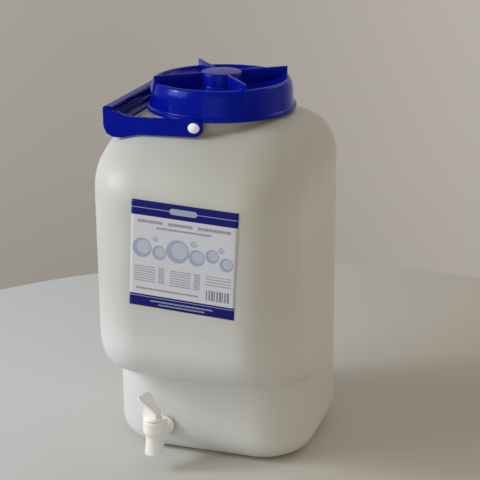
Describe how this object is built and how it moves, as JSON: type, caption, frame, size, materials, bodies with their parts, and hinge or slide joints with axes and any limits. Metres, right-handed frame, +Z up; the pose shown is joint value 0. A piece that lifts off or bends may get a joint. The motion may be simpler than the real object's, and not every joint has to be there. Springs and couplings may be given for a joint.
{
  "type": "detergent dispenser bottle",
  "caption": "Square translucent dispenser bottle with a wide winged screw cap, a folding carrying handle and a small quarter-turn outlet tap.",
  "frame": {"origin": "centre of the neck, on the floor under the base rim", "axes": "+Z up, -Y towards the front with the label and the tap, +X to the right seen from the front"},
  "size_m": [0.248, 0.2723, 0.4607],
  "materials": {
    "body_plastic": "translucent natural polyethylene, satin, milky",
    "blue_plastic": "glossy blue polypropylene",
    "white_plastic": "satin white moulding",
    "label_film": "smooth printed film label, white with blue bands",
    "gasket_foam": "soft closed-cell foam",
    "seal_rubber": "black sealing rubber"
  },
  "bodies": {
    "bottle": {"tank": "body_plastic", "label": "label_film", "handle_pin_front": "white_plastic", "handle_pin_rear": "white_plastic", "tap_body": "white_plastic", "outer_washer": "seal_rubber", "inner_washer": "seal_rubber", "tap_nut": "white_plastic", "key_clip": "white_plastic"},
    "gasket": {"cap_liner": "gasket_foam"},
    "screw_cap": {"cap": "blue_plastic"},
    "bail": {"handle": "blue_plastic"},
    "key": {"tap_key": "white_plastic", "plug_ring_upper": "seal_rubber", "plug_ring_lower": "seal_rubber"}
  },
  "joints": [
    {"name": "cap_lift", "type": "slide", "parent": "bottle", "child": "gasket", "axis": [0, 0, 1], "range_m": [0, 0.0076]},
    {"name": "cap_turn", "type": "hinge", "parent": "gasket", "child": "screw_cap", "pos_m": [0, 0, 0.4188], "axis": [0, 0, 1], "range_deg": [0, 450]},
    {"name": "handle_swing", "type": "hinge", "parent": "bottle", "child": "bail", "pos_m": [-0.0022, 0, 0.4136], "axis": [0, 1, 0], "range_deg": [0, 170]},
    {"name": "tap_turn", "type": "hinge", "parent": "bottle", "child": "key", "pos_m": [-0.046, -0.132, 0.04], "axis": [0, 0, 1], "range_deg": [0, 90]}
  ],
  "couplings": [
    {"joint": "cap_lift", "follows": "cap_turn", "m_per_rad": 0.00095493}
  ]
}
